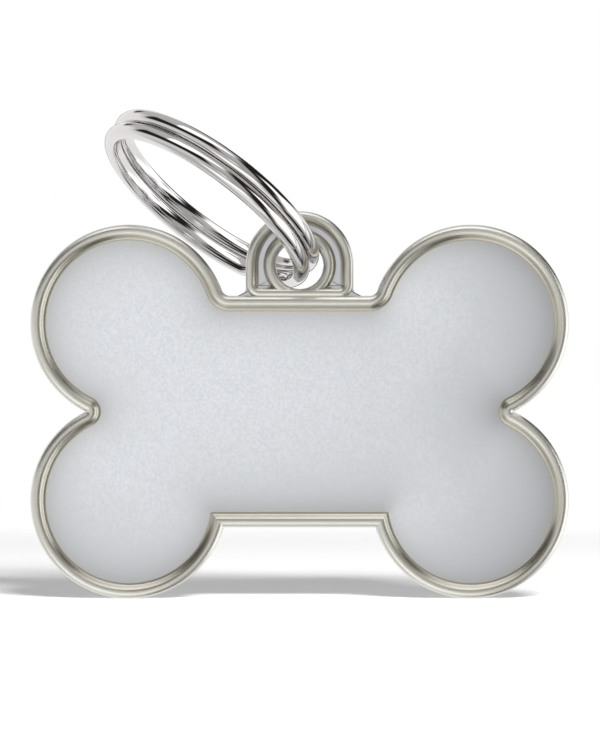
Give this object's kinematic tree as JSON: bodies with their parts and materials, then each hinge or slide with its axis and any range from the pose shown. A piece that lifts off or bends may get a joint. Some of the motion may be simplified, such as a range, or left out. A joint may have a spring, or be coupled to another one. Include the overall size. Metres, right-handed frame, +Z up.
{
  "type": "pet id tag",
  "caption": "Bone-shaped pet identity tag with a raised rim, a satin face plate and a lug that carries a split ring for a collar.",
  "frame": {"origin": "middle of the bone outline on its flat back", "axes": "+X along the bone to the right as seen from the front, +Y out of the flat back, +Z up towards the lug"},
  "size_m": [0.04, 0.0181, 0.0362],
  "materials": {
    "plated_casting": "polished nickel plating on a zinc casting",
    "bonding_film": "thin clear adhesive film",
    "satin_plate": "fine satin",
    "spring_wire": "bright nickel plating on spring steel"
  },
  "bodies": {
    "tag": {"tag_body": "plated_casting", "adhesive_film": "bonding_film", "face_plate": "satin_plate"},
    "ring": {"split_ring": "spring_wire"}
  },
  "joints": [
    {"name": "ring_swing", "type": "hinge", "parent": "tag", "child": "ring", "pos_m": [0, -0.00088, 0.01089], "axis": [0, 1, 0], "range_deg": [-23, 130]}
  ]
}
